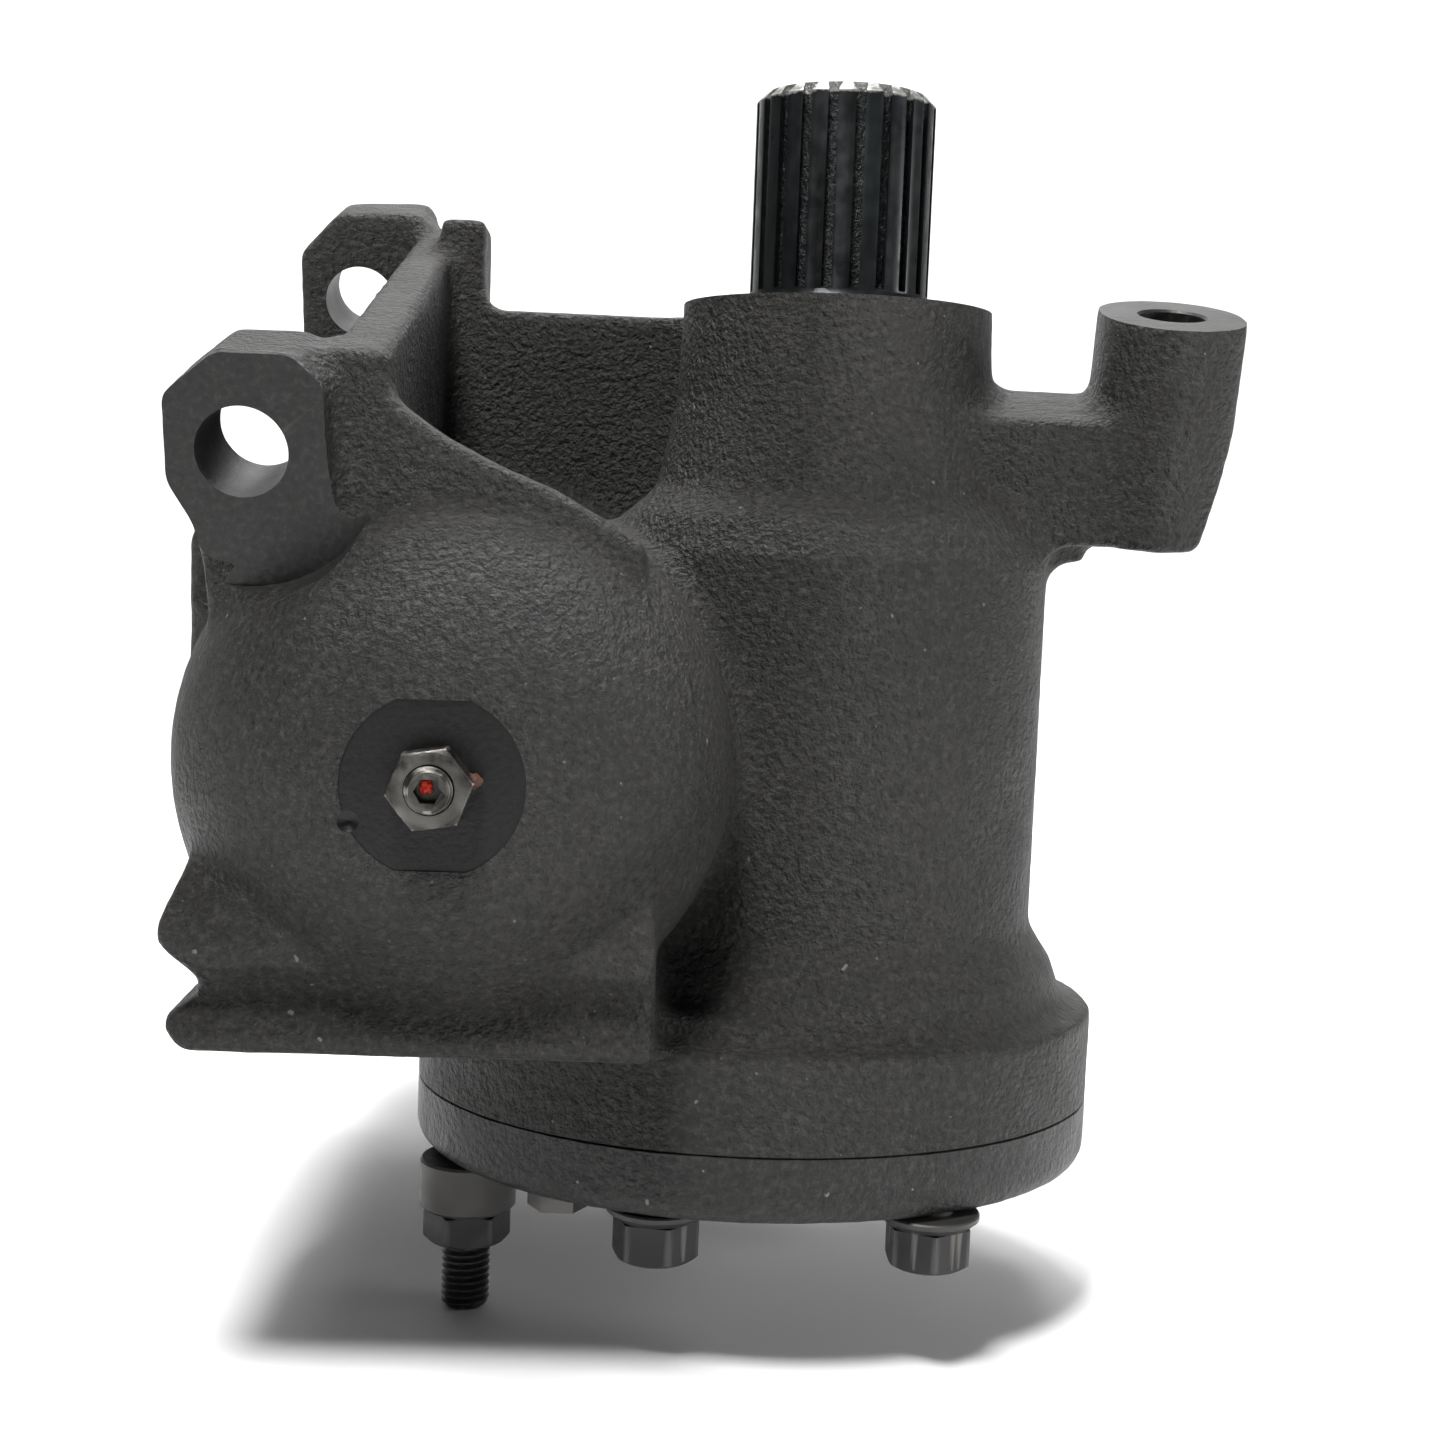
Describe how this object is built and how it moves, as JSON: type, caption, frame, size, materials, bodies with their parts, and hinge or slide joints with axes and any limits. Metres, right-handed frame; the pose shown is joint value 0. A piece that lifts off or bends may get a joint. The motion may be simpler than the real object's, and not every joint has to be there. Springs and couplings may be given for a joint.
{
  "type": "hydraulic steering gear",
  "caption": "Integral hydraulic steering gear: a rack piston in a domed power cylinder turns a splined output shaft; cast housing with mounting lugs, a bolted side cover and a rotary valve.",
  "frame": {"origin": "on the output shaft's axis, level with the top of the boss that the shaft leaves by", "axes": "+Z along the output shaft out of the housing, +Y along the power cylinder from its dome to its valve end, +X towards the single arm lug"},
  "size_m": [0.2507, 0.3266, 0.305],
  "materials": {
    "housing_paint": "satin",
    "machined_steel": "satin",
    "hardened_shaft": "satin",
    "black_fastener": "satin",
    "worn_nut": "satin",
    "bearing_steel": "polished",
    "seal_rubber": "matte",
    "seal_ptfe": "matte",
    "spring_steel": "satin",
    "guide_zinc": "satin"
  },
  "bodies": {
    "housing": {"gear_housing": "housing_paint", "side_cover": "housing_paint", "valve_housing": "housing_paint", "side_cover_seal": "seal_rubber", "side_cover_bolts": "black_fastener", "cover_stud": "black_fastener", "stud_collar": "black_fastener", "stud_nut": "black_fastener", "cover_plug": "black_fastener", "upper_bearing_cup": "bearing_steel", "upper_needles": "bearing_steel", "lower_bearing_cup": "bearing_steel", "lower_needles": "bearing_steel", "output_seal": "seal_rubber", "seal_snap_ring": "spring_steel", "dust_seal": "seal_rubber", "backlash_screw": "black_fastener", "backlash_lock_nut": "black_fastener", "limit_screw": "worn_nut", "limit_lock_nut": "worn_nut", "valve_housing_seal": "seal_rubber", "valve_housing_bolts": "black_fastener", "relief_valve_plug": "black_fastener", "bleed_screw": "black_fastener", "thrust_washers": "bearing_steel", "thrust_rollers": "bearing_steel", "worm_bearing_retainer": "machined_steel", "input_bearing": "bearing_steel", "input_seal": "seal_rubber", "input_dust_cover": "seal_rubber"},
    "sector": {"sector_shaft": "hardened_shaft", "backlash_screw_retainer": "machined_steel"},
    "piston": {"rack_piston": "machined_steel", "piston_seal_ring": "seal_ptfe", "piston_expander_ring": "seal_rubber", "ball_train": "bearing_steel", "ball_return_guide": "guide_zinc", "guide_clamp": "guide_zinc", "guide_clamp_screws": "black_fastener", "limit_valve_poppet": "machined_steel", "limit_valve_spring": "spring_steel", "limit_valve_seat": "machined_steel"},
    "worm": {"worm_shaft": "machined_steel", "valve_sleeve": "machined_steel", "sleeve_seal_rings": "seal_ptfe", "torsion_bar": "spring_steel", "torsion_bar_pin": "spring_steel"},
    "input": {"input_shaft": "machined_steel"}
  },
  "joints": [
    {"name": "output_swing", "type": "hinge", "parent": "housing", "child": "sector", "pos_m": [0, 0, 0], "axis": [0, 0, 1], "range_deg": [-27, 27]},
    {"name": "piston_slide", "type": "slide", "parent": "housing", "child": "piston", "axis": [0, 1, 0], "range_m": [-0.0208, 0.0208]},
    {"name": "worm_turn", "type": "hinge", "parent": "housing", "child": "worm", "pos_m": [-0.0885, 0, -0.111], "axis": [0, 1, 0], "range_deg": [-499, 499]},
    {"name": "input_twist", "type": "hinge", "parent": "worm", "child": "input", "pos_m": [-0.0885, 0, -0.111], "axis": [0, 1, 0], "range_deg": [-4, 4], "stiffness_Nm_per_rad": 60}
  ],
  "couplings": [
    {"joint": "piston_slide", "follows": "output_swing", "m_per_rad": -0.044},
    {"joint": "worm_turn", "follows": "output_swing", "ratio": 18.431}
  ]
}
